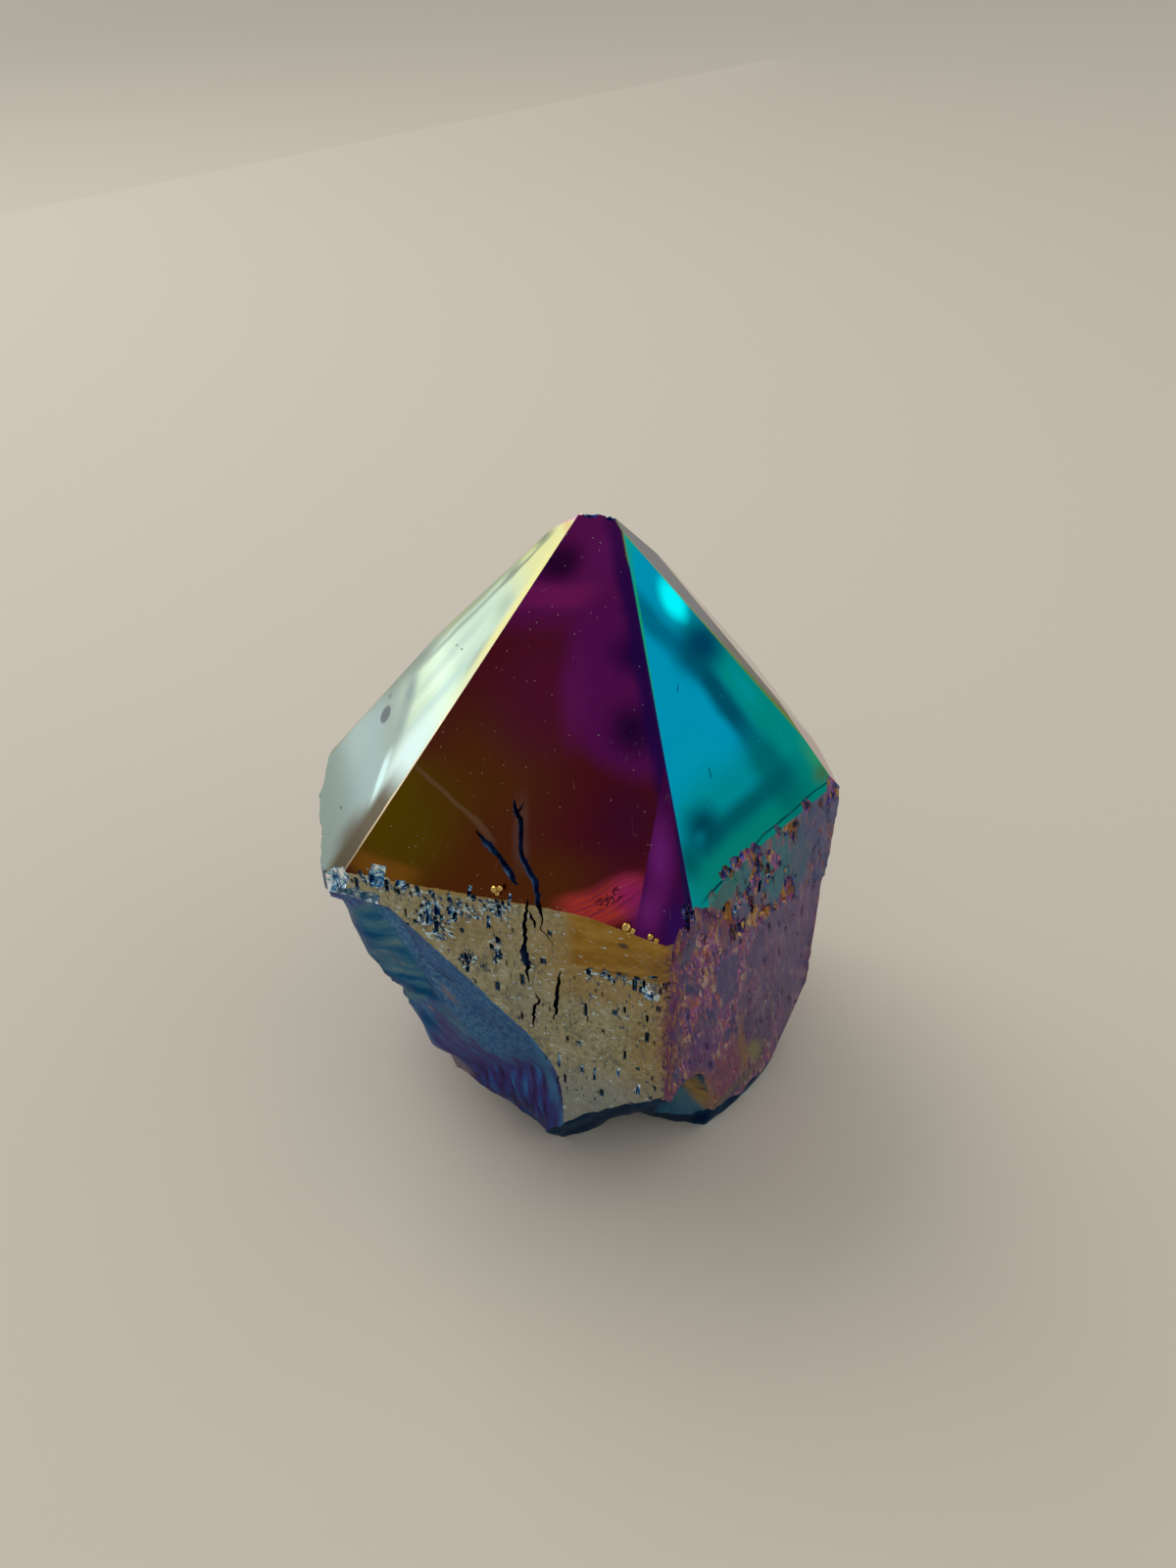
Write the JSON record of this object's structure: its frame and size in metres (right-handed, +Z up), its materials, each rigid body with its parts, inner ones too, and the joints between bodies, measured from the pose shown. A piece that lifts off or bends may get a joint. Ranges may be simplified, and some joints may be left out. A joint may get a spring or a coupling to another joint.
{
  "type": "titanium aura quartz point",
  "caption": "Free-standing natural quartz point with raw prism walls, a polished pyramid tip and a broken lower side, coated in an iridescent titanium film.",
  "frame": {"origin": "under the middle of the bounding box, on the surface that the broken base stands on", "axes": "+Z up along the crystal's own axis to its tip; -Y faces the viewer, towards the large polished front facet; +X to the viewer's right"},
  "size_m": [0.0627, 0.056, 0.0806],
  "materials": {
    "titanium_film": "iridescent titanium film on quartz: mirror-like on the polished facets, satin to glittering on the raw walls"
  },
  "bodies": {
    "root": {"quartz_point": "titanium_film"}
  },
  "joints": []
}
